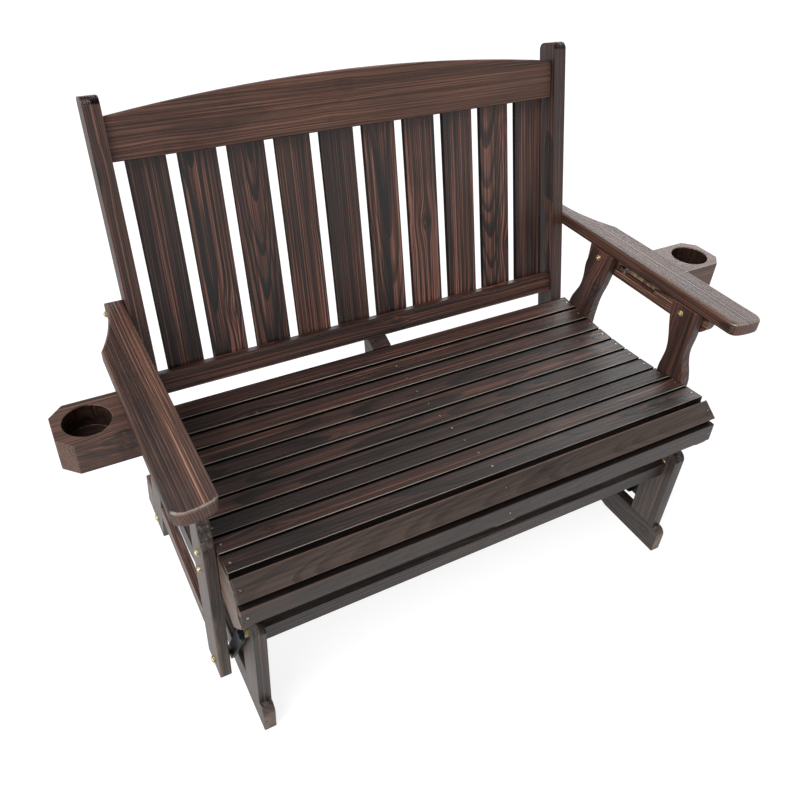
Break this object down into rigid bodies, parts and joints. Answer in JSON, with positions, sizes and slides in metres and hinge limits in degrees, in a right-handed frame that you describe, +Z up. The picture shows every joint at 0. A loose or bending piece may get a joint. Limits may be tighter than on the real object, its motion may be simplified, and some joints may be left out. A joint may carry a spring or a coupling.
{
  "type": "glider chair",
  "caption": "Wide slatted wooden porch glider: a swing seat with reclined back, armrests and pull-out cup holders, hung on steel links from a low base on skids.",
  "frame": {"origin": "on the floor, under the middle of the whole part's box, with the right cup holder pulled out 45 mm further than the left. The middle between the two arms is 22.5 mm to the left of it", "axes": "+X along the seat toward the right side as the picture shows it, +Y from the front edge to the back, +Z up"},
  "size_m": [1.467, 0.7166, 0.9801],
  "materials": {
    "dark_wood": "charred-look softwood, satin varnish",
    "warm_wood": "charred-look softwood with a warmer stain, satin varnish",
    "dark_steel": "blue-black coated steel",
    "brass": "yellow-passivated bolts"
  },
  "bodies": {
    "base": {"skid_left": "dark_wood", "skid_right": "dark_wood", "leg_front_left": "dark_wood", "leg_front_right": "dark_wood", "leg_rear_left": "dark_wood", "leg_rear_right": "dark_wood", "stretcher_front": "dark_wood", "stretcher_rear": "dark_wood", "hanger_bolts": "brass"},
    "link_front_left": {"link_front_left": "dark_steel"},
    "link_front_right": {"link_front_right": "dark_steel"},
    "link_rear_left": {"link_rear_left": "dark_steel"},
    "link_rear_right": {"link_rear_right": "dark_steel"},
    "swing": {"foot_bolts": "brass", "arm_post_front_left": "dark_wood", "arm_post_front_right": "dark_wood", "arm_post_rear_left": "dark_wood", "arm_post_rear_right": "dark_wood", "post_rail_left": "warm_wood", "post_rail_right": "warm_wood", "post_block_left": "warm_wood", "post_block_right": "warm_wood", "seat_side_left": "dark_wood", "seat_side_right": "dark_wood", "seat_center": "dark_wood", "back_post_left": "dark_wood", "back_post_right": "dark_wood", "crest_rail": "dark_wood", "back_rail": "dark_wood", "apron_left": "warm_wood", "apron_right": "warm_wood", "armrest_left": "dark_wood", "armrest_right": "dark_wood", "seat_screws": "dark_steel", "frame_bolts": "brass", "seat_slat_01": "dark_wood", "seat_slat_02": "dark_wood", "seat_slat_03": "dark_wood", "seat_slat_04": "dark_wood", "seat_slat_05": "dark_wood", "seat_slat_06": "dark_wood", "seat_slat_07": "dark_wood", "seat_slat_08": "dark_wood", "seat_slat_09": "dark_wood", "seat_slat_10": "dark_wood", "seat_slat_11": "dark_wood", "seat_slat_12": "dark_wood", "back_slat_01": "dark_wood", "back_slat_02": "dark_wood", "back_slat_03": "dark_wood", "back_slat_04": "dark_wood", "back_slat_05": "dark_wood", "back_slat_06": "dark_wood", "back_slat_07": "dark_wood", "back_slat_08": "dark_wood", "back_slat_09": "dark_wood", "back_slat_10": "dark_wood"},
    "cup_left": {"cup_holder_left": "dark_wood"},
    "cup_right": {"cup_holder_right": "dark_wood"}
  },
  "joints": [
    {"name": "link_front_left_hinge", "type": "hinge", "parent": "base", "child": "link_front_left", "pos_m": [-0.534, -0.30475, 0.25], "axis": [1, 0, 0], "range_deg": [-10, 10]},
    {"name": "glide", "type": "hinge", "parent": "link_front_left", "child": "swing", "pos_m": [-0.534, -0.21675, 0.074], "axis": [1, 0, 0], "range_deg": [-13.6, 13.6]},
    {"name": "link_front_right_hinge", "type": "hinge", "parent": "base", "child": "link_front_right", "pos_m": [0.489, -0.30475, 0.25], "axis": [1, 0, 0], "range_deg": [-10, 10]},
    {"name": "link_rear_left_hinge", "type": "hinge", "parent": "base", "child": "link_rear_left", "pos_m": [-0.534, 0.23925, 0.25], "axis": [1, 0, 0], "range_deg": [-10, 10]},
    {"name": "link_rear_right_hinge", "type": "hinge", "parent": "base", "child": "link_rear_right", "pos_m": [0.489, 0.23925, 0.25], "axis": [1, 0, 0], "range_deg": [-10, 10]},
    {"name": "cup_left_slide", "type": "slide", "parent": "swing", "child": "cup_left", "axis": [-1, 0, 0], "range_m": [-0.0125, 0.045]},
    {"name": "cup_right_slide", "type": "slide", "parent": "swing", "child": "cup_right", "axis": [1, 0, 0], "range_m": [-0.0575, 0]}
  ],
  "couplings": [
    {"joint": "link_front_left_hinge", "follows": "glide", "ratio": -0.73529},
    {"joint": "link_front_right_hinge", "follows": "glide", "ratio": -0.73529},
    {"joint": "link_rear_left_hinge", "follows": "glide", "ratio": -0.73529},
    {"joint": "link_rear_right_hinge", "follows": "glide", "ratio": -0.73529}
  ]
}
